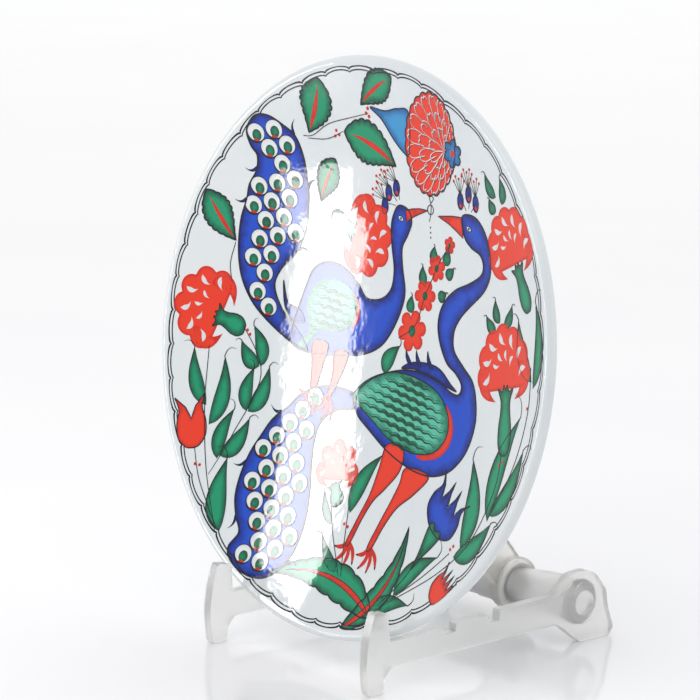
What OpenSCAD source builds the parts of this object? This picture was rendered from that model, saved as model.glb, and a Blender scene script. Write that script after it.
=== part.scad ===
// Hand-painted ceramic plate standing on a clear three-piece plate stand.
// Frame: +Z up, the plate faces -Y, the origin is on the floor under the middle of the whole.

/* [Plate] */
// Outer diameter of the plate
plate_d = 300; // [297:1:303]
// Radius of the rounded lip
lip_r = 3; // [2.6:0.1:3.2]
// Depth of the well below the lip's crest
well_depth = 22; // [20:0.5:23]
// Power of the well's curve: higher is flatter in the middle and steeper at the rim
well_power = 2.3; // [2.1:0.1:2.6]
// Thickness of the wall near the rim
rim_wall = 6.2; // [6:0.1:6.6]
// Extra thickness of the wall at the middle
middle_wall = 1.6; // [1:0.1:2]
// Outer radius of the foot ring at its root
foot_ring_r = 89; // [86:1:92]
// Width of the foot ring at its root
foot_ring_w = 9; // [8:0.5:10]
// Depth of the foot ring's rim below the lip's crest
foot_ring_depth = 37; // [36:0.5:38]
// Depth of the recess floor inside the foot ring, at its middle
recess_depth = 30; // [29.5:0.1:30.2]
// Diameter of the two hanging holes through the foot ring
hanging_hole_d = 3; // [2:0.5:3.5]
// Angle of each hanging hole from the plate's top
hanging_hole_angle = 14; // [10:1:20]

/* [Plate on the stand] */
// Backward lean of the plate
lean = 8; // [7.8:0.1:8.2]
// Distance of the crest circle's centre behind the front feet
crest_y = 33.2; // [32.8:0.1:33.6]
// Height of the crest circle's centre
crest_z = 163.2; // [163.1:0.1:164]

/* [Stand halves] */
// Overall width of the stand across its two side plates
stand_w = 130; // [129:0.5:130.5]
// Thickness of each side plate
side_t = 5.5; // [5:0.5:6]
// Height of the bars' top edge under the plate
bar_top = 26; // [25.6:0.1:26.1]
// Height of the bars' bottom edge
bar_bottom = 12.6; // [12:0.2:13]
// Width of each notch in the bars
notch_w = 8; // [6:0.5:9]
// Height of the notches' floor
notch_floor = 22.9; // [22:0.1:24]
// Height of the hooks' tip
hook_top = 42.8; // [41:0.2:44]
// Distance of the barrel's axis behind the front feet
barrel_y = 145.2; // [144.8:0.1:145.6]
// Height of the barrel's axis
barrel_z = 21.2; // [21:0.1:21.6]
// Radius of the bore through the barrel and both ears
bore_r = 6.8; // [6.4:0.1:7]
// Radius of the raised ring round each bore
ring_r = 11.2; // [10.8:0.1:11.6]
// Height of the raised ring above the side plate
ring_h = 1; // [0.8:0.1:1.2]
// Height of the raised web between bar and ring
web_h = 0.7; // [0.5:0.1:0.7]

/* [Telescoping barrel] */
// Radius of the right half's inner tube
spigot_r = 9.6; // [9.4:0.05:9.6]
// Radial clearance of the running fits
running_gap = 0.08; // [0.05:0.01:0.1]
// Distance of the spigot's end from the middle of the stand
spigot_end = 30; // [28:1:31]
// Distance of the socket's bottom from the middle of the stand
socket_end = 32; // [32:1:34]

/* [Back-rest] */
// Face of the back-rest's collar nearest to the middle of the stand
collar_x0 = 7.6; // [7.6:0.1:8]
// Width of the back-rest's collar
collar_w = 8.4; // [8:0.1:8.4]
// Outer radius of the back-rest's collar
collar_r = 14.6; // [14:0.1:15]
// Width of the blade
blade_w = 21; // [20:0.5:22]
// Thickness of the blade
blade_t = 5; // [4:0.5:6]
// Length of the blade from the barrel's axis to its tip
blade_l = 135.4; // [128:0.1:135.5]
// Slope of the blade above the horizontal, leaning towards the plate
blade_slope = 51.6; // [51.4:0.1:51.8]

/* [Hidden] */

// The stand runs from its front feet's noses to the heels of its rear feet;
// centre_y is the middle of that run, measured from the front feet.
centre_y = 80.6;

CERAMIC = [0.90, 0.91, 0.94];
CLEAR = [0.86, 0.86, 0.85, 0.5];

crest_r = plate_d / 2 - lip_r;
// The well's curve meets the lip where both have the same slope.
join_angle = atan(well_depth * well_power / crest_r);
join_r = crest_r - lip_r * sin(join_angle);
join_depth = lip_r * (1 - cos(join_angle));
curve_steps = 48;

half_w = stand_w / 2;
side_in = half_w - side_t;
// The left half's seat for the collar, and the socket's bore.
seat_r = 11;
socket_r = spigot_r + running_gap;
shoulder_r = 12;
shoulder_x = collar_x0 - 0.2;
mouth_x = 16.9;
tube_root_r = 12.3;

// Depth of the plate's glazed front below the crest plane at radius r.
function front_depth(r) =
    join_depth + (well_depth - join_depth) * (1 - pow(r / join_r, well_power));

// Depth of the plate's back at radius r.
function back_depth(r) =
    front_depth(r) + rim_wall + middle_wall * (1 - pow(r / crest_r, 2));

// Points on an arc about c from angle a0 to a1.
function arc(c, r, a0, a1, steps = 10) =
    [for (i = [0:steps]) let (a = a0 + (a1 - a0) * i / steps) c + r * [cos(a), sin(a)]];

function unit(v) = v / norm(v);
function cross2(a, b) = a[0] * b[1] - a[1] * b[0];

// Arc points that round corner b, which lies between a and c, with b[2] as its radius.
function corner_arc(a, b, c, steps) =
    let (p = [b[0], b[1]],
         u = unit([a[0], a[1]] - p),
         v = unit([c[0], c[1]] - p),
         half = acos(u * v) / 2,
         centre = p + unit(u + v) * b[2] / sin(half),
         start = p + u * b[2] / tan(half) - centre,
         turn = (180 - 2 * half) * sign(cross2(p - [a[0], a[1]], [c[0], c[1]] - p)),
         a0 = atan2(start[1], start[0]))
    arc(centre, b[2], a0, a0 + turn, steps);

// Outline through corners [x, y, radius].
function rounded(corners, steps = 8) =
    let (n = len(corners))
    [for (i = [0:n - 1])
        each corner_arc(corners[(i + n - 1) % n], corners[i], corners[(i + 1) % n], steps)];

// Half-section of the plate: x is the radius, y is minus the depth.
function plate_section() = concat(
    [for (i = [0:curve_steps]) let (r = join_r * i / curve_steps) [r, -front_depth(r)]],
    arc([crest_r, -lip_r], lip_r, 90 + join_angle - 6, -68, 18),
    [for (i = [0:24]) let (r = (crest_r - 1.5) + (foot_ring_r - crest_r + 1.5) * i / 24)
        [r, -back_depth(r)]],
    [[foot_ring_r - 1, -foot_ring_depth + 1.2],
     [foot_ring_r - 2, -foot_ring_depth],
     [foot_ring_r - foot_ring_w + 2.5, -foot_ring_depth],
     [foot_ring_r - foot_ring_w + 1.5, -foot_ring_depth + 1.2],
     [foot_ring_r - foot_ring_w, -recess_depth + 2.4]],
    [for (i = [1:12]) let (r = (foot_ring_r - foot_ring_w) * (1 - i / 12))
        [r, -recess_depth + 3 * pow(r / foot_ring_r, 2)]]);

// Side outline of a stand half: x runs back from the front feet, y is the height.
SIDE = [
    [-5.4, 0, 2.6],
    [-7.3, 17, 60],
    [-5.0, 32, 40],
    [-1.2, hook_top, 1.8],
    [7.2, hook_top - 1.4, 2.2],
    [8.4, bar_top, 0.8],
    [45.5, bar_top + 0.4, 0.5],
    [45.5, notch_floor, 0.4],
    [45.5 + notch_w, notch_floor, 0.4],
    [45.5 + notch_w, bar_top + 1.2, 0.5],
    [76.5, bar_top + 1.6, 0.5],
    [76.5, notch_floor, 0.4],
    [76.5 + notch_w, notch_floor, 0.4],
    [76.5 + notch_w, bar_top + 2.1, 0.5],
    [125, bar_top + 3, 10],
    [135.5, 38.2, 13],
    [152, 38.6, 14],
    [162.6, 25.5, 9],
    [163.4, 17, 30],
    [168.3, 4, 2.6],
    [165, 0, 2],
    [143.5, 0, 5],
    [138, 4, 8],
    [127, bar_bottom, 7],
    [9.2, bar_bottom, 4],
    [4.6, 7, 5],
    [4.3, 0, 1.4],
];

// Outline of the raised web, from its point on the bar to the ring.
WEB = [
    [92, bar_top + 0.2, 0.3],
    [126, bar_top + 1.6, 9],
    [137, barrel_z + 12, 2],
    [148, barrel_z + 4, 2],
    [142, barrel_z - 10, 2],
    [134, 14.5, 4],
    [126, 19.4, 20],
];

// A solid from an outline in the Y-Z plane, between two places along X.
module along_x(outline, x0, x1) {
    translate([x0, -centre_y, 0])
        rotate([90, 0, 90])
            linear_extrude(x1 - x0) polygon(outline);
}

// Places its children on the barrel's axis, with their Z axis along +X.
module on_barrel() {
    translate([0, barrel_y - centre_y, barrel_z]) rotate([0, 90, 0]) children();
}

// A round solid on the barrel's axis from points [radius, x].
module turned(section) {
    on_barrel() rotate_extrude($fn = 96) polygon(section);
}

// A round hole along the barrel's axis.
module bored(r, x0, x1) {
    on_barrel() translate([0, 0, x0]) cylinder(r = r, h = x1 - x0, $fn = 96);
}

// Side plate with its raised ring and web, on the +X side.
module side_plate() {
    along_x(rounded(SIDE), side_in, half_w);
    along_x(rounded(WEB), half_w - 1, half_w + web_h);
    turned([[0, half_w - 1], [ring_r, half_w - 1], [ring_r, half_w + ring_h - 0.4],
            [ring_r - 0.4, half_w + ring_h], [0, half_w + ring_h]]);
}

module plate() {
    color(CERAMIC)
    translate([0, crest_y - centre_y, crest_z])
        rotate([90 - lean, 0, 0])
            difference() {
                rotate_extrude($fn = 180) polygon(plate_section());
                for (side = [-1, 1])
                    rotate([0, 0, side * hanging_hole_angle])
                        translate([0, foot_ring_r - foot_ring_w / 2, -foot_ring_depth + 5])
                            rotate([90, 0, 0])
                                cylinder(d = hanging_hole_d, h = foot_ring_w + 6,
                                         center = true, $fn = 32);
            }
}

// Left half: side plate, socket tube, shoulder and seat for the collar.
module left_half() {
    color(CLEAR)
    difference() {
        union() {
            mirror([1, 0, 0]) side_plate();
            turned([[0, -side_in - 1], [tube_root_r, -side_in - 1], [tube_root_r, -side_in],
                    [seat_r + 0.2, -8], [shoulder_r, -8], [shoulder_r, shoulder_x - 0.3],
                    [shoulder_r - 0.3, shoulder_x], [seat_r, shoulder_x],
                    [seat_r, mouth_x - 0.7], [seat_r + 0.5, mouth_x - 0.4],
                    [seat_r + 0.3, mouth_x], [0, mouth_x]]);
        }
        bored(bore_r, -half_w - 2, mouth_x);
        bored(socket_r, -socket_end, mouth_x + 1);
    }
}

// Right half: side plate and the tapered tube whose spigot slides in the left half's socket.
module right_half() {
    color(CLEAR)
    difference() {
        union() {
            side_plate();
            turned([[0, -spigot_end], [spigot_r - 0.5, -spigot_end],
                    [spigot_r, -spigot_end + 0.5], [spigot_r, 19.5], [11.4, 37],
                    [tube_root_r, side_in], [tube_root_r, side_in + 1], [0, side_in + 1]]);
        }
        bored(bore_r, -spigot_end - 1, half_w + 2);
    }
}

// Back-rest: a collar round the left half's seat, and a blade that leans on the plate's back.
module back_rest() {
    blade_x = collar_x0 + collar_w / 2;
    tip = blade_l - blade_w / 2;
    color(CLEAR)
    difference() {
        union() {
            turned([[0, collar_x0], [collar_r - 0.8, collar_x0], [collar_r, collar_x0 + 0.8],
                    [collar_r, collar_x0 + collar_w - 0.8], [collar_r - 0.8, collar_x0 + collar_w],
                    [0, collar_x0 + collar_w]]);
            translate([blade_x - blade_t / 2, barrel_y - centre_y, barrel_z])
                rotate([180 - blade_slope, 0, 0])
                    rotate([90, 0, 90]) {
                        translate([0, -blade_w / 2, 0]) cube([tip, blade_w, blade_t]);
                        translate([tip, 0, 0]) cylinder(d = blade_w, h = blade_t, $fn = 64);
                    }
        }
        bored(seat_r + running_gap, collar_x0 - 1, collar_x0 + collar_w + 1);
    }
}

plate();
left_half();
right_half();
back_rest();
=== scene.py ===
"""Hand-painted ceramic plate with two birds and flowers, leaning on a clear three-piece plate stand."""

import math

import bmesh
import bpy
import numpy as np
from mathutils import Matrix, Vector
from mathutils.geometry import delaunay_2d_cdt


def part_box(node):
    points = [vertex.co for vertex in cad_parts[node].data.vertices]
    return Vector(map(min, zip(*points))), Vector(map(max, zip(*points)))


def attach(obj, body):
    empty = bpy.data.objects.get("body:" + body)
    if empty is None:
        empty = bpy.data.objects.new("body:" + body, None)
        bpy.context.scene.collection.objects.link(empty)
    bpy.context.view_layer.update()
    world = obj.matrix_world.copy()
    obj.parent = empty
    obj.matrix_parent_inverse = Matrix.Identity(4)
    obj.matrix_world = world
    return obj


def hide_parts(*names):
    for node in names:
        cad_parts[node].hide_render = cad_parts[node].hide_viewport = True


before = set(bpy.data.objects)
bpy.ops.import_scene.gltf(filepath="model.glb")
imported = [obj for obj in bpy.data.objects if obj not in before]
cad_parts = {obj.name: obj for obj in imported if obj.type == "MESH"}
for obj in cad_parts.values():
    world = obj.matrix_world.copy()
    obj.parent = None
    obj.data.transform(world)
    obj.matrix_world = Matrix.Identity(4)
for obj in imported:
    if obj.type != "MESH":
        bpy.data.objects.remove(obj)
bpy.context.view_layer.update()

MM = 0.001

# ---------------------------------------------------------------- the plate's shape, as in the CAD
CREST_R = 147.0         # radius of the lip's crest circle
LIP_R = 3.0             # radius of the rounded lip
WELL_DEPTH = 22.0
WELL_POWER = 2.3
RIM_WALL = 6.2
MIDDLE_WALL = 1.6
FOOT_R = 89.0           # foot ring: outer radius, width and depth of its rim
FOOT_W = 9.0
FOOT_DEPTH = 37.0
RECESS_DEPTH = 30.0
HOLE_R = 1.5            # hanging holes through the foot ring
HOLE_ANGLE = math.radians(14)
LEAN = math.radians(8)

JOIN_ANGLE = math.atan(WELL_DEPTH * WELL_POWER / CREST_R)
JOIN_R = CREST_R - LIP_R * math.sin(JOIN_ANGLE)
JOIN_DEPTH = LIP_R * (1 - math.cos(JOIN_ANGLE))

# Axes of the plate's plane in the shared frame, and the centre of its crest circle.
PLATE_X = Vector((1, 0, 0))
PLATE_UP = Vector((0, math.sin(LEAN), math.cos(LEAN)))
PLATE_N = Vector((0, -math.cos(LEAN), math.sin(LEAN)))
plate_lo, plate_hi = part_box("plate")
CREST = Vector((
    0,
    plate_lo[1] / MM + CREST_R * math.sin(LEAN) - LIP_R * math.cos(LEAN) + LIP_R,
    plate_hi[2] / MM - CREST_R * math.cos(LEAN) + LIP_R * math.sin(LEAN) - LIP_R,
))


def front_depth(r):
    """Depth of the glazed front below the crest plane at radius r."""
    return JOIN_DEPTH + (WELL_DEPTH - JOIN_DEPTH) * (1 - (r / JOIN_R) ** WELL_POWER)


def back_depth(r):
    """Depth of the plate's back at radius r."""
    return front_depth(r) + RIM_WALL + MIDDLE_WALL * (1 - (r / CREST_R) ** 2)


def plate_point(x, t, depth):
    """Place in the shared frame, in metres, of a point of the plate's plane at a depth."""
    return (CREST + x * PLATE_X + t * PLATE_UP - depth * PLATE_N) * MM


def glaze_normal(x, t):
    """Unit normal of the glazed front at (x, t)."""
    r = max(math.hypot(x, t), 1e-6)
    slope = (WELL_DEPTH - JOIN_DEPTH) * WELL_POWER * r ** (WELL_POWER - 1) / JOIN_R ** WELL_POWER
    return (PLATE_N - slope * (x * PLATE_X + t * PLATE_UP) / r).normalized()


def on_glaze(x, t, height):
    """Place in the shared frame, in metres, of a point height (mm) above the glaze at (x, t)."""
    return plate_point(x, t, front_depth(math.hypot(x, t))) + glaze_normal(x, t) * height * MM


# ---------------------------------------------------------------- materials
def new_material(name):
    """An empty node material: (material, nodes, link function, its Principled shader)."""
    mat = bpy.data.materials.new(name)
    mat.use_nodes = True
    nodes = mat.node_tree.nodes
    nodes.clear()
    shader = nodes.new("ShaderNodeBsdfPrincipled")
    out = nodes.new("ShaderNodeOutputMaterial")
    link = mat.node_tree.links.new
    link(shader.outputs[0], out.inputs[0])
    return mat, nodes, link, shader


def noise(nodes, link, scale, detail=3.0, rough=0.55):
    """Noise in object space, scale in features per metre."""
    coord = nodes.new("ShaderNodeTexCoord")
    tex = nodes.new("ShaderNodeTexNoise")
    tex.inputs["Scale"].default_value = scale
    tex.inputs["Detail"].default_value = detail
    tex.inputs["Roughness"].default_value = rough
    link(coord.outputs["Object"], tex.inputs["Vector"])
    return tex.outputs["Fac"]


def ramp(nodes, link, value, stops):
    """A colour ramp on value; stops are (place, colour)."""
    node = nodes.new("ShaderNodeValToRGB")
    while len(node.color_ramp.elements) < len(stops):
        node.color_ramp.elements.new(0.5)
    for element, (place, colour) in zip(node.color_ramp.elements, stops):
        element.position = place
        element.color = (*colour, 1)
    link(value, node.inputs["Fac"])
    return node.outputs["Color"]


def maths(nodes, link, operation, a, b):
    """One Math node; a and b are sockets or numbers."""
    node = nodes.new("ShaderNodeMath")
    node.operation = operation
    for socket, value in zip(node.inputs, (a, b)):
        if isinstance(value, (int, float)):
            socket.default_value = value
        else:
            link(value, socket)
    return node.outputs[0]


def bump(nodes, link, shader, height, strength, distance):
    """Bump from a height socket; distance in metres."""
    node = nodes.new("ShaderNodeBump")
    node.inputs["Strength"].default_value = strength
    node.inputs["Distance"].default_value = distance
    link(height, node.inputs["Height"])
    link(node.outputs["Normal"], shader.inputs["Normal"])


def glossy_glaze(nodes, link, shader):
    """The clear, slightly uneven glaze that covers the body and the painting alike."""
    wave_scale, wave_strength, wave_depth = 55, 0.22, 0.0006
    shader.inputs["Roughness"].default_value = 0.05
    shader.inputs["IOR"].default_value = 1.52
    bump(nodes, link, shader, noise(nodes, link, wave_scale), wave_strength, wave_depth)


def glaze_material():
    """Cool white glaze with faint bluish mottling."""
    mat, nodes, link, shader = new_material("white_glaze")
    cloud = noise(nodes, link, 14, 4)
    colour = ramp(nodes, link, cloud, [
        (0.3, (0.70, 0.745, 0.78)),
        (0.5, (0.740, 0.785, 0.80)),
        (0.7, (0.775, 0.80, 0.81)),
    ])
    link(colour, shader.inputs["Base Color"])
    glossy_glaze(nodes, link, shader)
    return mat


def paint_material(name, edge, middle, reach, streak=0.25, streak_scale=160):
    """Underglaze colour: edge colour at the outline, middle colour reach mm inside it, brush streaks."""
    streak_gain = 3         # how much the noise's swing about 0.5 is strengthened
    mat, nodes, link, shader = new_material(name)
    attribute = nodes.new("ShaderNodeAttribute")
    attribute.attribute_name = "inside"
    fade = maths(nodes, link, "DIVIDE", attribute.outputs["Fac"], reach)
    brush = noise(nodes, link, streak_scale, 5, 0.65)
    swing = maths(nodes, link, "SUBTRACT", brush, 0.5)
    wobble = maths(nodes, link, "MULTIPLY", swing, streak * streak_gain)
    colour = ramp(nodes, link, maths(nodes, link, "ADD", fade, wobble), [(0.05, edge), (1.0, middle)])
    link(colour, shader.inputs["Base Color"])
    glossy_glaze(nodes, link, shader)
    return mat


def clear_plastic_material(name, tint, clearness):
    """Clear moulded plastic gone milky: cloudy tint, satin surface, soft moulding waves."""
    mat, nodes, link, shader = new_material(name)
    cloud = noise(nodes, link, 30, 3)
    light_tint = tuple(min(1.0, c * 1.03) for c in tint)
    link(ramp(nodes, link, cloud, [(0.35, tint), (0.65, light_tint)]), shader.inputs["Base Color"])
    shader.inputs["Transmission Weight"].default_value = clearness
    shader.inputs["IOR"].default_value = 1.40
    patches = maths(nodes, link, "MULTIPLY", noise(nodes, link, 90, 2), 0.16)
    satin = maths(nodes, link, "ADD", patches, 0.24)
    link(satin, shader.inputs["Roughness"])
    bump(nodes, link, shader, noise(nodes, link, 35, 2), 0.06, 0.0006)
    return mat


GLAZE = glaze_material()
BLUE = paint_material("cobalt_blue", (0.001, 0.008, 0.17), (0.006, 0.068, 0.56), 5.5, 0.45)
SKY = paint_material("sky_blue", (0.01, 0.10, 0.33), (0.04, 0.30, 0.62), 4.0)
GREEN = paint_material("copper_green", (0.0, 0.075, 0.036), (0.004, 0.30, 0.145), 3.6, 0.35)
WING_GREEN = paint_material("wing_green", (0.0, 0.16, 0.09), (0.10, 0.52, 0.36), 6.0, 0.6, 110)
RED = paint_material("coral_red", (0.60, 0.016, 0.006), (0.82, 0.040, 0.012), 2.0, 0.15)
PINK = paint_material("thin_red", (0.66, 0.04, 0.02), (0.78, 0.14, 0.10), 3.5)
WHITE = paint_material("reserve_white", (0.70, 0.73, 0.75), (0.80, 0.81, 0.81), 2.0, 0.1)
INK = paint_material("black_ink", (0.004, 0.007, 0.014), (0.012, 0.016, 0.03), 1.0)
CLEAR = clear_plastic_material("clear_plastic", (0.985, 0.98, 0.965), 0.8)
CLEAR_REST = clear_plastic_material("clear_plastic_rest", (0.975, 0.955, 0.92), 0.85)


# ---------------------------------------------------------------- outlines, in mm on the plate's plane
def spline(points, steps=7, closed=True):
    """A Catmull-Rom curve through points."""
    n = len(points)
    out = []
    last = n if closed else n - 1
    for i in range(last):
        if closed:
            p0, p1, p2, p3 = (points[(i + k - 1) % n] for k in range(4))
        else:
            p0, p1, p2, p3 = (points[min(max(i + k - 1, 0), n - 1)] for k in range(4))
        for s in range(steps):
            u = s / steps
            out.append(tuple(
                0.5 * (2 * b + (c - a) * u + (2 * a - 5 * b + 4 * c - d) * u * u
                       + (3 * b - a - 3 * c + d) * u ** 3)
                for a, b, c, d in zip(p0, p1, p2, p3)
            ))
    if not closed:
        out.append(tuple(points[-1]))
    return out


def placed(points, centre, angle=0.0):
    """Points turned by angle (degrees) and moved to centre."""
    c, s = math.cos(math.radians(angle)), math.sin(math.radians(angle))
    return [(centre[0] + x * c - y * s, centre[1] + x * s + y * c) for x, y in points]


def ellipse(centre, rx, ry, angle, steps):
    """An ellipse's outline."""
    ring = [(rx * math.cos(2 * math.pi * i / steps), ry * math.sin(2 * math.pi * i / steps))
            for i in range(steps)]
    return placed(ring, centre, angle)


def inside(point, outline):
    """Whether point lies inside the closed outline."""
    x, y = point
    hit = False
    for (x0, y0), (x1, y1) in zip(outline, outline[1:] + outline[:1]):
        if (y0 > y) != (y1 > y) and x < (x1 - x0) * (y - y0) / (y1 - y0) + x0:
            hit = not hit
    return hit


def edge_distance(points, outline):
    """Distance of each point to the closed outline."""
    p = np.asarray(points, float)[:, None]
    a = np.asarray(outline, float)
    d = np.roll(a, -1, 0) - a
    u = ((p - a) * d).sum(2) / np.maximum((d * d).sum(1), 1e-9)
    near = a + np.clip(u, 0, 1)[..., None] * d
    return np.sqrt(((p - near) ** 2).sum(2)).min(1)


def left_of(path, i, closed=False):
    """Unit vector to the left of the path's run at its point i."""
    n = len(path)
    if closed:
        (x0, y0), (x1, y1) = path[i - 1], path[(i + 1) % n]
    else:
        (x0, y0), (x1, y1) = path[max(i - 1, 0)], path[min(i + 1, n - 1)]
    length = math.hypot(x1 - x0, y1 - y0) or 1.0
    return -(y1 - y0) / length, (x1 - x0) / length


PAINT_R = 142.5         # paint is drawn inwards beyond this radius, mm
PAINT_ROOM = 2.8        # and never gets further out than this past it, mm
LONGEST_STEP = 3.0      # longest straight step along an outline or a stroke, mm


def within_lip(x, t):
    """The place (x, t), drawn inwards where it would run on to the lip."""
    r = math.hypot(x, t)
    if r <= PAINT_R:
        return x, t
    share = (PAINT_R + PAINT_ROOM * math.tanh((r - PAINT_R) / PAINT_ROOM)) / r
    return x * share, t * share


def dense(path, closed):
    """The path with points added so that no step is longer than LONGEST_STEP."""
    ends = path[1:] + path[:1] if closed else path[1:]
    out = []
    for (x0, y0), (x1, y1) in zip(path, ends):
        parts = max(1, math.ceil(math.hypot(x1 - x0, y1 - y0) / LONGEST_STEP))
        out += [(x0 + (x1 - x0) * k / parts, y0 + (y1 - y0) * k / parts) for k in range(parts)]
    return out if closed else out + [path[-1]]


class Layer:
    """One piece of the painting: closed thin solids that follow the glaze, all of one colour."""

    BELOW = -0.06       # how far the underside is sunk into the glaze, mm
    ROW = 0.87          # distance of the inner points' rows, as a share of their spacing
    CLEAR_OF_EDGE = 0.4     # nearest an inner point comes to the outline, as a share of their spacing
    TAPER_RUN = 0.35    # share of a stroke's points over which each end tapers
    THINNEST = 0.08     # narrowest that a stroke gets, mm

    def __init__(self, name, material, height, grid=2.6):
        self.name, self.material, self.height, self.grid = name, material, height, grid
        self.points, self.heights, self.inset, self.faces = [], [], [], []

    def _add(self, flat, inset, faces):
        """Adds a flat mesh as a closed solid: a top, an underside and walls."""
        flat = [within_lip(x, t) for x, t in flat]
        base, count = len(self.points), len(flat)
        self.points += list(flat) * 2
        self.heights += [self.height] * count + [self.BELOW] * count
        self.inset += list(inset) * 2
        edges = {}
        for face in faces:
            for a, b in zip(face, face[1:] + face[:1]):
                edges[(a, b)] = True
            self.faces.append([base + i for i in face])
            self.faces.append([base + count + i for i in reversed(face)])
        for a, b in edges:
            if (b, a) not in edges:
                self.faces.append([base + b, base + a, base + count + a, base + count + b])

    def area(self, outline):
        """Fills a closed outline."""
        outline = dense(list(outline), True)
        xs, ys = zip(*outline)
        rows = []
        nx = int((max(xs) - min(xs)) / self.grid) + 1
        ny = int((max(ys) - min(ys)) / (self.grid * self.ROW)) + 1
        for j in range(ny):
            for i in range(nx):
                point = (min(xs) + (i + 0.5 * (j % 2)) * self.grid, min(ys) + j * self.grid * self.ROW)
                if inside(point, outline):
                    rows.append(point)
        if rows:
            far = edge_distance(rows, outline) > self.grid * self.CLEAR_OF_EDGE
            rows = [p for p, keep in zip(rows, far) if keep]
        verts = [Vector(p) for p in outline] + [Vector(p) for p in rows]
        ring = list(range(len(outline)))
        result = delaunay_2d_cdt(verts, [], [ring], 1, 1e-4)
        flat = [(v.x, v.y) for v in result[0]]
        faces = []
        for face in result[2]:
            (x0, y0), (x1, y1), (x2, y2) = (flat[i] for i in face)
            turn = (x1 - x0) * (y2 - y0) - (x2 - x0) * (y1 - y0)
            faces.append(list(face) if turn > 0 else list(reversed(face)))
        used = sorted({i for face in faces for i in face})
        place = {old: new for new, old in enumerate(used)}
        flat = [flat[i] for i in used]
        faces = [[place[i] for i in face] for face in faces]
        if flat:
            self._add(flat, edge_distance(flat, outline), faces)

    def stroke(self, path, width, taper=(1.0, 1.0), closed=False):
        """A brush line along path; taper gives its width at both ends as a share of width."""
        path = [p for i, p in enumerate(path) if i == 0 or math.dist(p, path[i - 1]) > 0.02]
        path = dense(path, closed)
        n = len(path)
        if n < 2:
            return
        flat = []
        for i, (x, y) in enumerate(path):
            u = i / (n - 1)
            share = 1.0
            if not closed:
                rise = min(1.0, u / self.TAPER_RUN)
                fall = min(1.0, (1 - u) / self.TAPER_RUN)
                share = min(taper[0] + (1 - taper[0]) * rise, taper[1] + (1 - taper[1]) * fall)
            w = max(width * share, self.THINNEST) / 2
            nx, ny = left_of(path, i, closed)
            flat += [(x - nx * w, y - ny * w), (x + nx * w, y + ny * w)]
        faces = []
        for i in range(n if closed else n - 1):
            a, b = 2 * i, 2 * ((i + 1) % n)
            faces.append([a, b, b + 1, a + 1])
        self._add(flat, [0.0] * len(flat), faces)

    def build(self):
        """Makes the piece's object, which rides with the plate."""
        mesh = bpy.data.meshes.new(self.name)
        places = [on_glaze(x, t, h) for (x, t), h in zip(self.points, self.heights)]
        mesh.from_pydata([tuple(p) for p in places], [], self.faces)
        attribute = mesh.attributes.new("inside", "FLOAT", "POINT")
        attribute.data.foreach_set("value", [float(v) for v in self.inset])
        mesh.polygons.foreach_set("use_smooth", [True] * len(mesh.polygons))
        mesh.normals_split_custom_set_from_vertices([tuple(glaze_normal(x, t)) for x, t in self.points])
        mesh.materials.append(self.material)
        obj = bpy.data.objects.new(self.name, mesh)
        bpy.context.collection.objects.link(obj)
        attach(obj, "dish")


# ---------------------------------------------------------------- the painting's layers
# How far the layers' tops stand above the glaze, mm.
BASE, LEAF, EDGE, PETAL, OVER, TOP, LINE = 0.05, 0.07, 0.09, 0.11, 0.135, 0.165, 0.20
edge_ink = Layer("border_lines", INK, EDGE)
blue = Layer("birds_blue", BLUE, BASE)
sky = Layer("buds_sky_blue", SKY, LEAF)
green = Layer("leaves_green", GREEN, LEAF, 1.8)
wings = Layer("wings_green", WING_GREEN, OVER, 2.2)
cups = Layer("calyxes_green", GREEN, OVER, 1.8)
red = Layer("flowers_red", RED, PETAL)
red_over = Layer("accents_red", RED, OVER, 1.8)
pink = Layer("flowers_thin_red", PINK, PETAL)
white = Layer("tail_eyes_white", WHITE, OVER)
eye_green = Layer("tail_eyes_green", GREEN, TOP, 1.5)
eye_red = Layer("tail_eyes_red", RED, TOP + 0.02, 1.5)
petal_white = Layer("petal_lines_white", WHITE, TOP)
ink = Layer("ink_lines", INK, LINE)
LAYERS = [edge_ink, blue, sky, green, wings, cups, red, red_over, pink, white, eye_green, eye_red,
          petal_white, ink]

OUTLINE_W = 0.75        # width of the ink round a shape where no other is given, mm
FINE_W = 0.45           # width of stems, mm


def outlined(layer, outline, width=OUTLINE_W):
    """A filled shape with its ink outline."""
    layer.area(outline)
    ink.stroke(outline, width, closed=True)


def border():
    """Double ink line of bracket scallops near the lip."""
    scallops = 48
    steps = 18          # points along one scallop
    cusp_r = 142.6      # radius of the outer line at its inward cusps, but for a slight wobble, mm
    rise = 1.9          # how far its scallops bulge out from them, mm
    for offset, width in ((0.0, 1.05), (-1.7, 0.7)):
        ring = []
        for i in range(scallops * steps):
            u = (i % steps) / steps
            bulge = math.sin(math.pi * u) ** 0.55
            radius = cusp_r + offset + (rise + 0.25 * offset) * bulge + 0.5 * math.sin(i * 0.11)
            angle = 2 * math.pi * i / (scallops * steps)
            ring.append((radius * math.cos(angle), radius * math.sin(angle)))
        edge_ink.stroke(ring, width, closed=True)


def bend_line(start, end, bow, steps=12):
    """A line from start to end that bows to its left by bow, as a share of its length."""
    dx, dy = end[0] - start[0], end[1] - start[1]
    return [(start[0] + dx * u - dy * bow * 4 * u * (1 - u), start[1] + dy * u + dx * bow * 4 * u * (1 - u))
            for u in (i / steps for i in range(steps + 1))]


LEAF_STEPS = 18         # steps along a plain leaf, from base to tip


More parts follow.
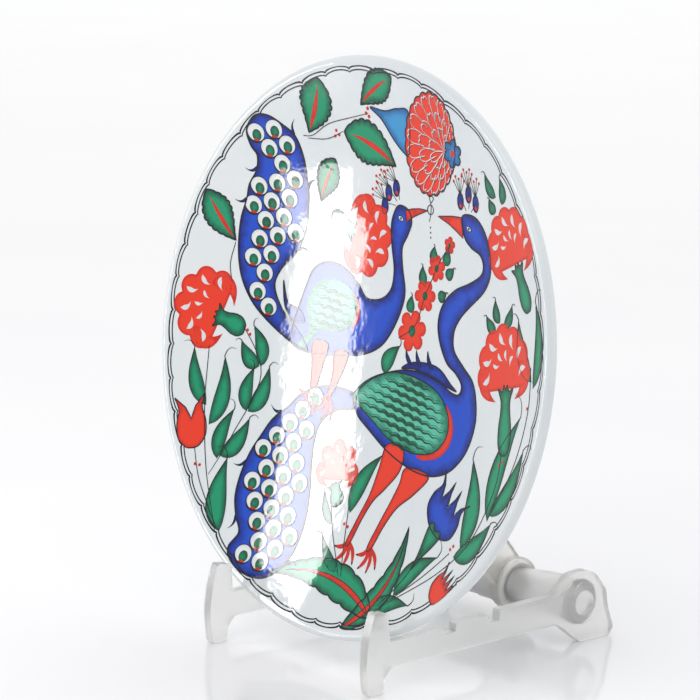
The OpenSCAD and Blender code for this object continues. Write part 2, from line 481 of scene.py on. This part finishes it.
def leaf_outline(base, tip, width, bow, fullness=0.8, teeth=0, steps=LEAF_STEPS, sharp=1.0):
    """A pointed leaf's outline and its middle line; teeth serrates its sides and sharp thins its tip."""
    middle = bend_line(base, tip, bow, steps)
    left, right = [], []
    for i in range(1, steps):
        u = i / steps
        half = width / 2 * math.sin(math.pi * u ** fullness) ** sharp
        if teeth:
            half *= 0.90 + 0.12 * abs(math.sin(math.pi * u * teeth)) ** 0.7
        nx, ny = left_of(middle, i)
        left.append((middle[i][0] + nx * half, middle[i][1] + ny * half))
        right.append((middle[i][0] - nx * half, middle[i][1] - ny * half))
    return [middle[0]] + left + [middle[-1]] + right[::-1], middle


def leaf(base, tip, width, side):
    """A long leaf with its belly on one side (1 is left, from base to tip) and a fine curl at its tip."""
    belly, flank = 0.66, 0.34       # shares of the width on the full side and on the other
    middle = bend_line(base, tip, 0.07 * side, LEAF_STEPS)
    outer, inner = [], []
    for i, (x, y) in enumerate(middle):
        nx, ny = left_of(middle, i)
        full = width * side * math.sin(math.pi * (i / LEAF_STEPS) ** 0.72) ** 1.15
        outer.append((x + nx * full * belly, y + ny * full * belly))
        inner.append((x - nx * full * flank, y - ny * full * flank))
    green.area([middle[0]] + outer[1:-1] + [middle[-1]] + inner[-2:0:-1])
    dx, dy = tip[0] - base[0], tip[1] - base[1]
    ox, oy = -dy * side, dx * side
    curl = [(tip[0] + dx * a + ox * b, tip[1] + dy * a + oy * b)
            for a, b in ((0.0, 0.0), (0.09, 0.03), (0.14, 0.09), (0.14, 0.18))]
    ink.stroke(outer[1:-1] + spline(curl, 4, closed=False), 0.5, (0.3, 0.1))
    ink.stroke(inner[1:-1], 0.3, (0.3, 0.5))


def toothed_leaf(base, tip, width, bow):
    """A broad leaf with rounded teeth, a hooked tip and a red midrib."""
    teeth = 9
    outline, middle = leaf_outline(base, tip, width * 1.12, bow, 1.3, teeth, teeth * 6, 0.8)
    green.area(outline)
    ink.stroke(outline, 0.85, closed=True)
    n = len(middle)
    rib, _ = leaf_outline(middle[n // 12], middle[-n // 8], width * 0.15, bow * 0.8, 0.8)
    red_over.area(rib)


def stem(points):
    """A thin ink stem through points."""
    ink.stroke(spline(points, 8, closed=False), FINE_W, (0.8, 0.6))


def dots(layer, places, radius):
    """Round dabs of colour."""
    for place in places:
        layer.area(ellipse(place, radius, radius, 0, 10))


def fan_outline(lobes, spread, reach, lobe_r, neck):
    """A flower head seen from the side: round lobes fanned about +X, closed at a neck behind it."""
    steps = 90
    angles = [math.radians(-spread / 2 + spread * i / (lobes - 1)) for i in range(lobes)]
    out = []
    limit = math.radians(spread / 2 + 24)
    for k in range(steps + 1):
        phi = -limit + 2 * limit * k / steps
        best = neck
        for a in angles:
            d = phi - a
            away = reach * math.sin(d)
            if abs(away) < lobe_r and math.cos(d) > 0:
                best = max(best, reach * math.cos(d) + math.sqrt(lobe_r ** 2 - away ** 2))
        out.append((best * math.cos(phi), best * math.sin(phi)))
    return out


def carnation(centre, angle, size, layer=red, lobes=6):
    """A carnation head: deep lobes with white drops in them, and a petal curling back on each side."""
    spread = 190        # angle over which the lobes fan out, degrees
    head = fan_outline(lobes, spread, 0.70 * size, 0.30 * size, 0.46 * size)
    layer.area(placed(head, centre, angle))
    drops = [(0.56, 0.82, spread * (i / (lobes - 1) - 0.5), 0.12) for i in range(lobes)]
    inner = max(2, lobes - 3)
    drops += [(0.24, 0.46, spread * 0.8 * ((i + 0.5) / inner - 0.5), 0.08) for i in range(inner)]
    for start, end, turn, width in drops:
        a = math.radians(turn - 9)
        c = math.radians(turn + 7)
        drop, _ = leaf_outline((start * size * math.cos(a), start * size * math.sin(a)),
                               (end * size * math.cos(c), end * size * math.sin(c)),
                               width * size, 0.22, 1.5, steps=12)
        petal_white.area(placed(drop, centre, angle))
    for side in (-1, 1):
        hook, _ = leaf_outline((0.20 * size, 0.56 * side * size), (-0.58 * size, 0.36 * side * size),
                               0.40 * size, -0.36 * side, 0.62)
        layer.area(placed(hook, centre, angle))


def calyx(base, tip, width, frill=True):
    """A tapering green cup under a flower, widest at its tip."""
    dx, dy = tip[0] - base[0], tip[1] - base[1]
    length = math.hypot(dx, dy)
    angle = math.degrees(math.atan2(dy, dx))
    cup = [(0, 0), (0.02, 0.20), (0.18, 0.38), (0.42, 0.40), (0.68, 0.30), (0.86, 0.30), (1.04, 0.48),
           (1.00, 0.22), (1.10, 0.11), (1.02, 0.0), (1.10, -0.11), (1.00, -0.22), (1.04, -0.48),
           (0.86, -0.30), (0.68, -0.30), (0.42, -0.40), (0.18, -0.38), (0.02, -0.20)]
    if not frill:
        cup = [(0, 0), (0.35, 0.12), (0.7, 0.30), (0.95, 0.38), (1.05, 0.22), (0.96, 0.0),
               (1.05, -0.22), (0.95, -0.38), (0.7, -0.30), (0.35, -0.12)]
    outlined(cups, placed(spline([(x * length, y * width) for x, y in cup], 4), base, angle), 0.5)


def small_flower(centre, radius, petals, turn):
    """A round red flower with a green eye."""
    ring = []
    for i in range(petals * 12):
        a = 2 * math.pi * i / (petals * 12)
        r = radius * (0.66 + 0.34 * abs(math.cos(petals * a / 2)) ** 0.6)
        ring.append((r * math.cos(a), r * math.sin(a)))
    red.area(placed(ring, centre, turn))
    eye_green.area(ellipse(centre, radius * 0.24, radius * 0.28, 0, 12))


def tulip(base, angle, size, layer, tips, fullness):
    """A tulip cup; +X of its own is towards the tips of its petals."""
    side = [(0.0, 0.0), (0.04, 0.20), (0.24, 0.40), (0.54, 0.42), (0.80, 0.34), (1.06, 0.44)]
    shape = spline(side, 5, closed=False)
    gap = 0.30 / tips
    for i in range(1, tips):
        notch = 0.42 - 0.84 * i / tips
        shape += [(0.84, notch + gap), (0.60, notch), (0.84, notch - gap)]
        if i < tips - 1:
            shape.append((1.08, notch - 0.42 / tips))
    shape += spline([(x, -y) for x, y in reversed(side)], 5, closed=False)
    outlined(layer, placed([(x * size, y * size * fullness) for x, y in shape], base, angle), 0.6)


def eyed_tail(outline, pitch, slant, start, eye_r):
    """A blue tail filled with staggered eyes: white disc, green oval, two red dabs, ink ring."""
    outlined(blue, outline, 0.9)
    c, s = math.cos(math.radians(slant)), math.sin(math.radians(slant))
    centres = []
    for row in range(-12, 13):
        for col in range(-6, 7):
            u = (col + 0.5 * (row % 2)) * pitch * 1.12
            v = row * pitch * 0.80
            centre = (start[0] + u * c - v * s, start[1] + u * s + v * c)
            if inside(centre, outline):
                centres.append(centre)
    far = edge_distance(centres, outline)
    for (x, t), room in zip(centres, far):
        if room < eye_r * 0.86:
            continue
        disc = ellipse((x, t), eye_r * 1.02, eye_r * 0.88, 0, 30)
        white.area(disc)
        ink.stroke(disc, 0.35, closed=True)
        ink.stroke(disc[13:29], 1.15, (0.15, 0.15))
        eye_green.area(ellipse((x + 0.5, t - 1.2), eye_r * 0.54, eye_r * 0.55, 10, 18))
        eye_red.area(ellipse((x - 0.5, t - eye_r * 0.72), eye_r * 0.26, eye_r * 0.17, 10, 12))
        eye_red.area(ellipse((x + 1.0, t - eye_r * 0.76), eye_r * 0.2, eye_r * 0.15, 0, 12))


def hooks_along(outline, picks, length, lean):
    """Short curved barbs that stand off an outline at the picked shares of its run."""
    outermost = 137         # a barb whose tip would lie beyond this radius is left out, mm
    n = len(outline)
    for share in picks:
        i = int(share * n) % n
        (x0, y0), (x1, y1) = outline[i], outline[(i + 2) % n]
        run = math.hypot(x1 - x0, y1 - y0)
        ux, uy = (x1 - x0) / run, (y1 - y0) / run
        tip = (x0 + (ux * lean + uy) * length, y0 + (uy * lean - ux) * length)
        if math.hypot(*tip) > outermost:
            continue
        barb, middle = leaf_outline((x0 - ux * 1.2, y0 - uy * 1.2), tip, length * 0.26, 0.22, 0.5)
        blue.area(barb)
        ink.stroke(middle, 0.55, (1, 0.1))


def feather_rows(outline, rows, spacing, angle):
    """Wavy ink rows across a wing, with green bands below them."""
    steps = 60
    xs, ys = zip(*outline)
    centre = ((min(xs) + max(xs)) / 2, (min(ys) + max(ys)) / 2)
    span = (max(xs) - min(xs)) / 2 + 4
    for row in range(rows):
        v = (row - (rows - 1) / 2) * spacing
        wave = [(u, v + 1.1 * abs(math.sin(u * 0.42 + row * 1.3)))
                for u in (-span + 2 * span * k / steps for k in range(steps + 1))]
        run = []
        for point in placed(wave, centre, angle) + [None]:
            if point and inside(point, outline):
                run.append(point)
            else:
                if len(run) > 4:
                    ink.stroke(run[1:-1], 0.45, (0.3, 0.3))
                    band = [(x, y - 0.30 * spacing) for x, y in run[2:-2]]
                    if len(band) > 6:
                        eye_green.stroke(band, 0.42 * spacing, (0.2, 0.2))
                run = []


def bird_head(eye, beak, crest, lean):
    """Eye, red beak and three blue crest drops with dotted stamens."""
    outlined(white, ellipse(eye, 2.0, 1.2, -20, 16), 0.4)
    ink.area(ellipse(eye, 0.7, 0.7, 0, 10))
    outlined(red, beak, 0.5)
    for x, t in crest:
        root = ((x + 2 * eye[0]) / 3, (t + 2 * (eye[1] + 6)) / 3)
        ink.stroke(bend_line((x, t), root, 0.06, 5), 0.25)
        outlined(blue, ellipse((x, t - 1), 2.5, 4.2, 0, 20), 0.4)
        eye_red.area(ellipse((x + 0.4, t - 3.2), 1.2, 1.0, 0, 10))
        for k in range(5):
            a = math.radians(90 + lean + 13 * (k - 2))
            reach = 10 + 1.6 * (k % 2)
            tip = (x + reach * math.cos(a), t + reach * math.sin(a))
            ink.stroke([(x, t + 2), ((x + tip[0]) / 2, (t + 2 + tip[1]) / 2), tip], 0.22, (1, 0.6))
            eye_red.area(ellipse(tip, 0.75, 0.75, 0, 9))


def leg(outline, ankle, turn):
    """A red leg; its foot of four clawed toes is turned by turn degrees."""
    outlined(red, outline, 0.5)
    for k, a in enumerate((200, 236, 268, 300)):
        a = math.radians(a + turn)
        reach = 11.5 if k else 9.0
        knuckle = (ankle[0] + reach * 0.55 * math.cos(a + 0.25), ankle[1] + reach * 0.55 * math.sin(a + 0.25))
        tip = (ankle[0] + reach * math.cos(a), ankle[1] + reach * math.sin(a))
        red_over.stroke(spline([ankle, knuckle, tip], 6, closed=False), 2.4, (1, 0.45))
        claw = (tip[0] + 1.6 * math.cos(a - 0.5), tip[1] + 1.6 * math.sin(a - 0.5))
        ink.stroke([tip, claw], 1.3, (1, 0.2))


def left_bird():
    """The bird at the upper left, looking right."""
    tail = spline([
        (-81, 112), (-90, 111), (-96, 103), (-94, 95), (-90, 90), (-91, 82), (-96, 74), (-98, 66),
        (-102, 54), (-103, 38), (-100, 24), (-92, 12), (-80, 3), (-64, -5), (-50, -9), (-56, -1),
        (-70, 10), (-77, 22), (-73, 32), (-63, 42), (-57, 54), (-55, 70), (-56, 82), (-58, 93),
        (-63, 103), (-71, 108),
    ])
    eyed_tail(tail, 11.4, 14, (-77, 77), 5.7)
    hooks_along(tail, (0.02, 0.07, 0.19, 0.27, 0.74, 0.83, 0.93), 7, 0.5)
    body = spline([
        (-62, -6), (-50, -9.5), (-30, -8), (-10, -5), (4, 1), (12, 10), (18, 22), (20, 32), (17, 44),
        (16, 54), (20, 61), (23, 68), (20, 74), (13, 75.5), (9, 71), (7, 64), (8, 54), (10.5, 42),
        (9, 32), (2, 26), (-9, 25), (-17, 32), (-28, 38.5), (-40, 40), (-50, 35), (-55, 25), (-59, 14),
        (-62, 4),
    ])
    outlined(blue, body)
    tip = spline([(-71, 26), (-67, 15), (-58, 12), (-54, 6), (-62, 5), (-69, 13)], 6)
    outlined(blue, tip, 0.6)
    wing = spline([
        (-57, -6), (-50, 2), (-53, 14), (-50, 24), (-42, 30), (-30, 31), (-20, 27), (-15, 19),
        (-18, 10), (-28, 5), (-42, 3), (-52, -7),
    ])
    wings.area(wing)
    feather_rows(wing, 7, 4.4, -6)
    red_over.area(spline([(-20, 27), (-14, 21), (-14, 12), (-19, 8), (-17, 15), (-18, 22)], 5))
    leg(spline([(-46, -3), (-35, -3), (-37, -15), (-41, -31), (-43.5, -31), (-45, -16)], 6), (-42, -30), -20)
    leg(spline([(-29, -6), (-19, -6), (-23, -19), (-29, -31), (-31.5, -31), (-29, -19)], 6), (-30, -30), -10)
    beak = [(18, 73.5), (23, 74.8), (29, 75.6), (36, 75.4), (29, 72.8), (23, 70.2), (19, 67.5)]
    bird_head((14.5, 69), beak, [(2, 75), (5, 82), (11, 85)], 42)


def right_bird():
    """The bird at the lower right, its neck turned back to the left."""
    tail = spline([
        (-10, -26), (-24, -24), (-38, -26), (-50, -32), (-58, -40), (-67, -48), (-73, -58), (-78, -68),
        (-81, -80), (-81, -92), (-77, -102), (-72, -110), (-76, -119), (-70, -127), (-60, -130),
        (-48, -130), (-38, -124), (-31, -112), (-29, -96), (-31, -80), (-34, -66), (-35, -52),
        (-31, -42), (-22, -36), (-10, -33),
    ])
    eyed_tail(tail, 11.4, -8, (-52, -76), 5.7)
    hooks_along(tail, (0.18, 0.30, 0.40, 0.49, 0.57, 0.66), 7, 0.6)
    body = spline([
        (64, 75), (70, 77), (78, 75), (85, 68), (89, 58), (89, 48), (84, 40), (74, 32), (66, 25),
        (61.5, 17), (63, 8), (72, 1), (81, -5), (86, -14), (88, -26), (84, -40), (74, -51), (62, -56),
        (50, -57), (36, -55), (20, -50), (6, -43), (-6, -36), (-11, -28), (-2, -18), (12, -11),
        (30, -7), (50, -8), (64, -13), (71, -13), (72, -8), (66, -3), (58, 1), (51, 10), (48, 20),
        (51, 30), (60, 38), (72, 43), (81, 48), (83, 53), (80, 58), (72, 61), (66, 66),
    ])
    outlined(blue, body)
    back = spline([(23, -7), (30, -3), (42, -1.5), (53, -3), (63, -9), (68, -12), (50, -9), (34, -6)], 6)
    outlined(blue, back, 0.6)
    for x in (27, 35, 44):
        barb, _ = leaf_outline((x + 3, -4), (x - 2, 3 + (x - 27) * 0.1), 2.4, 0.12, 0.7)
        outlined(blue, barb, 0.35)
    wing = spline([
        (-12, -27), (-5, -19), (6, -13), (20, -9.5), (38, -10.5), (54, -15), (64, -24), (66, -34),
        (60, -43), (50, -47), (36, -47.5), (20, -44), (6, -37), (-6, -31),
    ])
    wings.area(wing)
    ink.stroke(wing, 0.6, closed=True)
    feather_rows(wing, 9, 4.2, -8)
    red_over.area(spline([(62, -20), (69, -27), (70, -37), (63, -46), (50, -50), (44, -48.5),
                          (55, -46), (63, -40), (66, -31)], 6))
    leg(spline([(20, -47), (33, -47), (33.5, -58), (25, -69), (17.5, -77), (12, -88), (7.5, -101),
                (4.5, -101), (9, -87), (14, -74), (17, -60)], 6), (6.5, -100), 6)
    leg(spline([(38, -56), (57, -57), (48, -68), (37, -77), (30, -88), (24.5, -101), (21.5, -100),
                (26, -87), (31, -75), (35, -65)], 6), (23.5, -100), 14)
    beak = [(64, 75), (56, 74.8), (44, 73.5), (53, 70.6), (60, 67.4), (65, 64.8)]
    bird_head((70, 70), beak, [(63, 84), (70, 88), (76, 84)], 6)


def rosette():
    """The large red flower of layered petals between the birds, with its small blue flower."""
    centre, rx, ry, turn = (40, 109), 20.5, 26.5, -12
    floret_centre = (58, 106)
    rim = []
    lobes = 22
    for i in range(lobes * 8):
        a = 2 * math.pi * i / (lobes * 8)
        f = 0.95 + 0.05 * abs(math.cos(lobes * a / 2))
        rim.append((rx * f * math.cos(a), ry * f * math.sin(a)))
    outlined(red, placed(rim, centre, turn), 0.7)
    shift = 0.55        # the petals spread from near the small flower, not from the middle
    for ring, count in ((0.78, 17), (0.50, 12), (0.24, 8)):
        for i in range(count):
            a = 2 * math.pi * (i + 0.5 * (count % 2)) / count
            half = math.pi / count * 0.94
            arc = []
            for k in range(-8, 9):
                w = a + half * k / 8
                f = ring + 0.17 * math.cos(math.pi * k / 16) ** 0.6 - 0.05 * math.exp(-(k / 1.5) ** 2)
                arc.append((rx * (f * math.cos(w) + shift * (1 - f)), ry * f * math.sin(w)))
            foot = ring - 0.26
            line = [(rx * (f * math.cos(a + half) + shift * (1 - f)), ry * f * math.sin(a + half))
                    for f in (max(0.02, foot), ring - 0.1, ring)]
            for mark in (arc, line):
                petal_white.stroke(placed(mark, centre, turn), 0.6, (0.4, 0.6))
                shade = [(x + 0.55, y - 0.35) for x, y in mark]
                ink.stroke(placed(shade, centre, turn), 0.3, (0.4, 0.4))
    floret = []
    for i in range(60):
        a = 2 * math.pi * i / 60
        r = 7.2 * (0.68 + 0.32 * abs(math.cos(3 * a)) ** 0.8)
        floret.append((r * math.cos(a), r * math.sin(a)))
    small_sky = Layer("floret_sky_blue", SKY, TOP + 0.02, 1.8)
    LAYERS.append(small_sky)
    outlined(small_sky, placed(floret, floret_centre, 20), 0.7)
    dots(floret_red, [floret_centre], 1.8)
    bud = spline([(24, 123), (15, 124.5), (5, 122.5), (-6, 123.5), (2, 118), (10, 109), (18, 102.5),
                  (22, 103)], 6)
    outlined(sky, bud, 0.6)
    dots(red_over, [(-8, 122.5), (-9.5, 120), (-7.5, 118.5)], 1.0)


def stems_and_leaves():
    """Everything that grows round the birds."""
    for base, tip, width, bow in (
        ((-53, 106), (-43, 135), 20, -0.04), ((-13, 124), (13, 140), 15, 0.05),
        ((11, 95), (-27, 109), 20, -0.06), ((-46, 71), (-35, 94), 14, 0.04),
        ((-105, 43), (-124, 68), 17, 0.04),
    ):
        toothed_leaf(base, tip, width, bow)
    for base, tip, width, side in (
        ((-113, -48), (-126, -18), 9, 1), ((-109, -58), (-106, -20), 10, -1),
        ((-82, -22), (-96, -10), 9, 1), ((-81, -22), (-89, -1), 9, -1),
        ((-86, -47), (-85, -23), 9, 1), ((-85, -47), (-75, -21), 10, -1),
        ((-99, -75), (-94, -47), 9, 1), ((-98, -73), (-83, -50), 10, -1),
        ((-85, -112), (-92, -73), 13, 1), ((5, -116), (-14, -100), 6, 1),
        ((-9, -94), (-20, -78), 5, 1), ((2, -86), (18, -53), 10, 1),
        ((96, -86), (91, -42), 13, -1), ((114, -69), (128, -15), 12, 1),
        ((114, -66), (135, -30), 10, -1), ((92, -91), (118, -69), 11, -1),
        ((52, -119), (79, -94), 10, 1), ((36, -132), (66, -121), 9, 1),
        ((136, 0), (132, 42), 8, -1), ((134, 3), (117, 31), 9, 1),
        ((97, 23), (88, 29), 6, 1), ((100, 27), (95, 38), 6, 1), ((104, 26), (110, 37), 6, -1),
        ((10, -12), (20, 4), 9, 1), ((43, 50), (42, 58), 6, 1), ((49, 50), (53, 58), 6, -1),
        ((36, 38), (33, 47), 6, 1), ((46, 34), (53, 36), 6, -1), ((94, 81), (88, 87), 6, 1),
        ((94, 88), (85, 99), 6, 1), ((99, 85), (98, 98), 6, -1), ((27, 22), (26, 31), 6, 1),
        ((51, 45), (58, 49), 6, -1),
    ):
        leaf(base, tip, width, side)
    # the large leaves at the foot of the plate
    for base, tip, width, bow in (((39, -133), (-44, -126), 19, -0.12), ((20, -142), (50, -84), 14, -0.14)):
        outline, middle = leaf_outline(base, tip, width, bow, 0.7, 7, 42)
        outlined(green, outline, 0.7)
        rib, _ = leaf_outline(middle[1], middle[-6], 3.0, bow * 0.85, 0.5)
        outlined(red_over, rib, 0.35)
    for points in (
        [(-57, 104), (-50, 105), (-38, 112), (-20, 117), (-8, 120)],
        [(-54, 103), (-40, 104), (-28, 109)], [(-105, 42), (-108, 30), (-106, 20)],
        [(-117, -16), (-114, -48), (-104, -82), (-88, -112)],
        [(-96, -2), (-80, -26), (-92, -60), (-102, -84)],
        [(115, -35), (115, -52), (104, -80), (84, -100), (54, -120), (30, -136)],
        [(132, 10), (134, -12), (128, -40), (114, -68)], [(88, -90), (70, -106), (44, -126)],
        [(18, 8), (30, 16), (36, 32), (46, 50), (54, 60)], [(0, -82), (4, -104), (8, -118)],
        [(-16, -76), (-8, -96), (6, -118)], [(-115, -71), (-108, -86), (-98, -99), (-87, -111)],
        [(66, -92), (56, -110), (42, -126)],
    ):
        stem(points)
    dots(red_over, [(-33, 109), (-31, 107), (-34, 106), (115, -41), (117, -39), (90, -86), (88, -88),
                    (-112, -80), (-109, -80), (-93, -4), (-91, -6), (133, -10), (0, -92), (3, -93)], 0.9)


def flowers():
    """Carnations, tulips, their calyxes, the chain of small flowers and the ornament above it."""
    calyx((-95, -4), (-114, 1), 14)
    carnation((-119, 4), 160, 23)
    calyx((-38, 65), (-22, 58), 12)
    carnation((-14, 57), -14, 22)
    calyx((126, 36), (114, 56), 12)
    carnation((108, 64), 112, 21.5, red, 7)
    calyx((117, -36), (111, -5), 14)
    carnation((108, 4), 104, 24, red, 7)
    calyx((-8, -84), (-14, -74), 12)
    carnation((-14, -66), 98, 16, pink, 5)
    tulip((-116, -72), 107, 27, red, 2, 0.8)
    calyx((60, -104), (72, -81), 15, frill=False)
    tulip((70, -83), 62, 27, blue, 4, 1.25)
    tulip((83, -115), 52, 20, red, 4, 0.85)
    for centre, radius, petals, turn in (((54, 60), 4.5, 5, 10), ((44, 47), 7, 6, 20),
                                         ((36, 32), 8.4, 6, 5), ((28, 13), 11, 6, 15)):
        small_flower(centre, radius, petals, turn)
    # the small curled ornament between the beaks
    ink.stroke(ellipse((38, 76), 2.4, 2.4, 0, 18), 0.45, closed=True)
    ink.stroke(spline([(38, 79), (40.5, 82), (37, 83), (38.5, 78), (38, 73), (37, 70)], 6, closed=False), 0.4)
    dots(ink, [(38, 67), (38.2, 64.5), (38.4, 62)], 0.45)


floret_red = Layer("floret_centre_red", RED, LINE, 1.5)
LAYERS.append(floret_red)
border()
left_bird()
right_bird()
rosette()
stems_and_leaves()
flowers()
for layer in LAYERS:
    layer.build()


# ---------------------------------------------------------------- the plate's body
def plate_section():
    """Half-section (radius, depth) from the front's middle, round the lip, to the back's middle."""
    front_steps, lip_steps, back_steps, recess_steps = 56, 20, 24, 12
    section = []
    for i in range(front_steps + 1):
        r = JOIN_R * i / front_steps
        section.append((r, front_depth(r)))
    start, end = math.pi / 2 + JOIN_ANGLE, math.radians(-68)
    for i in range(1, lip_steps + 1):
        a = start + (end - start) * i / lip_steps
        section.append((CREST_R + LIP_R * math.cos(a), LIP_R - LIP_R * math.sin(a)))
    for i in range(back_steps + 1):
        r = CREST_R - 1.5 + (FOOT_R + 1.5 - CREST_R) * i / back_steps
        section.append((r, back_depth(r)))
    foot_in = FOOT_R - FOOT_W
    section += [(FOOT_R, back_depth(FOOT_R) + 1.5), (FOOT_R - 0.7, FOOT_DEPTH - 2.4),
                (FOOT_R - 1.1, FOOT_DEPTH - 0.9), (FOOT_R - 2.2, FOOT_DEPTH),
                (foot_in + 2.6, FOOT_DEPTH), (foot_in + 1.6, FOOT_DEPTH - 0.9),
                (foot_in + 1.1, FOOT_DEPTH - 2.4), (foot_in + 0.2, RECESS_DEPTH - 1.0)]
    for i in range(recess_steps + 1):
        r = (foot_in - 0.5) * (1 - i / recess_steps)
        section.append((r, RECESS_DEPTH - 3 * (r / FOOT_R) ** 2))
    return section


def build_plate():
    """The plate's body as one closed surface of revolution with its two hanging holes."""
    segments = 224
    section = plate_section()
    mesh = bmesh.new()
    first = mesh.verts.new(plate_point(0, 0, section[0][1]))
    last = mesh.verts.new(plate_point(0, 0, section[-1][1]))
    rings = []
    for r, depth in section[1:-1]:
        rings.append([mesh.verts.new(plate_point(r * math.sin(a), r * math.cos(a), depth))
                      for a in (2 * math.pi * k / segments for k in range(segments))])
    for k in range(segments):
        n = (k + 1) % segments
        mesh.faces.new((first, rings[0][n], rings[0][k]))
        mesh.faces.new((last, rings[-1][k], rings[-1][n]))
        for a, b in zip(rings, rings[1:]):
            mesh.faces.new((a[k], a[n], b[n], b[k]))
    bmesh.ops.recalc_face_normals(mesh, faces=mesh.faces)
    data = bpy.data.meshes.new("plate_body")
    mesh.to_mesh(data)
    mesh.free()
    data.materials.append(GLAZE)
    obj = bpy.data.objects.new("plate_body", data)
    bpy.context.collection.objects.link(obj)
    for side in (-1, 1):
        drill_hole(obj, side * HOLE_ANGLE)
    data.polygons.foreach_set("use_smooth", [True] * len(data.polygons))
    data.set_sharp_from_angle(angle=math.radians(50))
    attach(obj, "dish")
    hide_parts("plate")


def drill_hole(obj, angle):
    """Cuts a hanging hole through the foot ring, along a radius at angle from the plate's top."""
    out = PLATE_X * math.sin(angle) + PLATE_UP * math.cos(angle)
    middle = plate_point(0, 0, FOOT_DEPTH - 5) + out * (FOOT_R - FOOT_W / 2) * MM
    drill = bmesh.new()
    turn = out.to_track_quat("Z", "Y").to_matrix().to_4x4()
    bmesh.ops.create_cone(drill, cap_ends=True, segments=28, radius1=HOLE_R * MM, radius2=HOLE_R * MM,
                          depth=(FOOT_W + 6) * MM, matrix=Matrix.Translation(middle) @ turn)
    data = bpy.data.meshes.new("drill")
    drill.to_mesh(data)
    drill.free()
    cutter = bpy.data.objects.new("drill", data)
    bpy.context.collection.objects.link(cutter)
    modifier = obj.modifiers.new("hole", "BOOLEAN")
    modifier.operation = "DIFFERENCE"
    modifier.solver = "EXACT"
    modifier.object = cutter
    bpy.context.view_layer.objects.active = obj
    bpy.ops.object.modifier_apply(modifier=modifier.name)
    bpy.data.objects.remove(cutter)


build_plate()

# ---------------------------------------------------------------- the stand keeps its CAD shapes
for node, material in (("left_half", CLEAR), ("right_half", CLEAR), ("back_rest", CLEAR_REST)):
    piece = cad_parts[node]
    piece.data.materials.clear()
    piece.data.materials.append(material)


# ---------------------------------------------------------------- floor, light and camera
def build_floor():
    """A plain pale glossy floor."""
    data = bpy.data.meshes.new("floor")
    size = 6.0          # half of its side, m
    level = -0.0003     # just under the feet, m
    corners = [(-size, -size, level), (size, -size, level), (size, size, level), (-size, size, level)]
    data.from_pydata(corners, [], [(0, 1, 2, 3)])
    floor = bpy.data.objects.new("floor", data)
    bpy.context.collection.objects.link(floor)
    mat, nodes, link, shader = new_material("floor_white")
    tone = ramp(nodes, link, noise(nodes, link, 3, 2), [
        (0.3, (0.90, 0.90, 0.925)),
        (0.7, (0.93, 0.93, 0.945)),
    ])
    link(tone, shader.inputs["Base Color"])
    shader.inputs["Roughness"].default_value = 0.10
    data.materials.append(mat)


def area_light(name, azimuth, elevation, distance, width, height, power):
    """A soft box seen from the plate at azimuth (0 is -Y, + towards +X) and elevation, facing the plate."""
    a, e = math.radians(azimuth), math.radians(elevation)
    aim = CREST * MM
    towards = Vector((math.sin(a) * math.cos(e), -math.cos(a) * math.cos(e), math.sin(e)))
    data = bpy.data.lights.new(name, "AREA")
    data.shape = "RECTANGLE"
    data.size, data.size_y, data.energy = width, height, power
    light = bpy.data.objects.new(name, data)
    light.location = aim + towards * distance
    light.rotation_euler = towards.to_track_quat("Z", "Y").to_euler()
    bpy.context.collection.objects.link(light)


ROOM_FRONT = 0.60       # brightness of the room in front of the plate, which the glaze reflects
ROOM_BACK = 1.12        # brightness of the room behind it; the camera itself sees plain white


def build_light():
    """A white backdrop, a room dimmer in front, two soft boxes that the dish mirrors, and a key light."""
    world = bpy.data.worlds.new("studio")
    world.use_nodes = True
    nodes = world.node_tree.nodes
    link = world.node_tree.links.new
    room = nodes["Background"]
    seen_white = nodes.new("ShaderNodeBackground")
    seen_white.inputs["Color"].default_value = (1, 1, 1, 1)
    coord = nodes.new("ShaderNodeTexCoord")
    split = nodes.new("ShaderNodeSeparateXYZ")
    link(coord.outputs["Generated"], split.inputs[0])
    slope = maths(nodes, link, "MULTIPLY", split.outputs["Y"], 0.9)
    backness = maths(nodes, link, "ADD", slope, 0.5)
    shade = ramp(nodes, link, backness, [(0.0, (ROOM_FRONT,) * 3), (1.0, (ROOM_BACK,) * 3)])
    link(shade, room.inputs["Color"])
    path = nodes.new("ShaderNodeLightPath")
    mix = nodes.new("ShaderNodeMixShader")
    link(path.outputs["Is Camera Ray"], mix.inputs[0])
    link(room.outputs[0], mix.inputs[1])
    link(seen_white.outputs[0], mix.inputs[2])
    link(mix.outputs[0], nodes["World Output"].inputs["Surface"])
    bpy.context.scene.world = world
    area_light("soft_box_left", -43.2, 3.8, 0.9, 0.125, 0.235, 1.3)
    area_light("soft_box_left_low", -41.8, -4.4, 0.9, 0.135, 0.05, 0.2)
    area_light("soft_box_key", 18, 48, 1.6, 1.1, 1.1, 6.5)


def build_camera():
    """A long lens from the front right: azimuth 49, elevation 11, from 1.6 m."""
    a, e = math.radians(48.95), math.radians(11.26)
    distance = 1.6
    aim = Vector((21.34, -60.6, 166.96)) * MM
    away = Vector((math.sin(a) * math.cos(e), -math.cos(a) * math.cos(e), math.sin(e)))
    data = bpy.data.cameras.new("camera")
    data.lens = 163.35
    data.sensor_width = 36
    data.clip_end = 50
    camera = bpy.data.objects.new("camera", data)
    camera.location = aim + away * distance
    camera.rotation_euler = away.to_track_quat("Z", "Y").to_euler()
    bpy.context.collection.objects.link(camera)
    bpy.context.scene.camera = camera


build_floor()
build_light()
build_camera()
bpy.context.scene.view_settings.view_transform = "Standard"
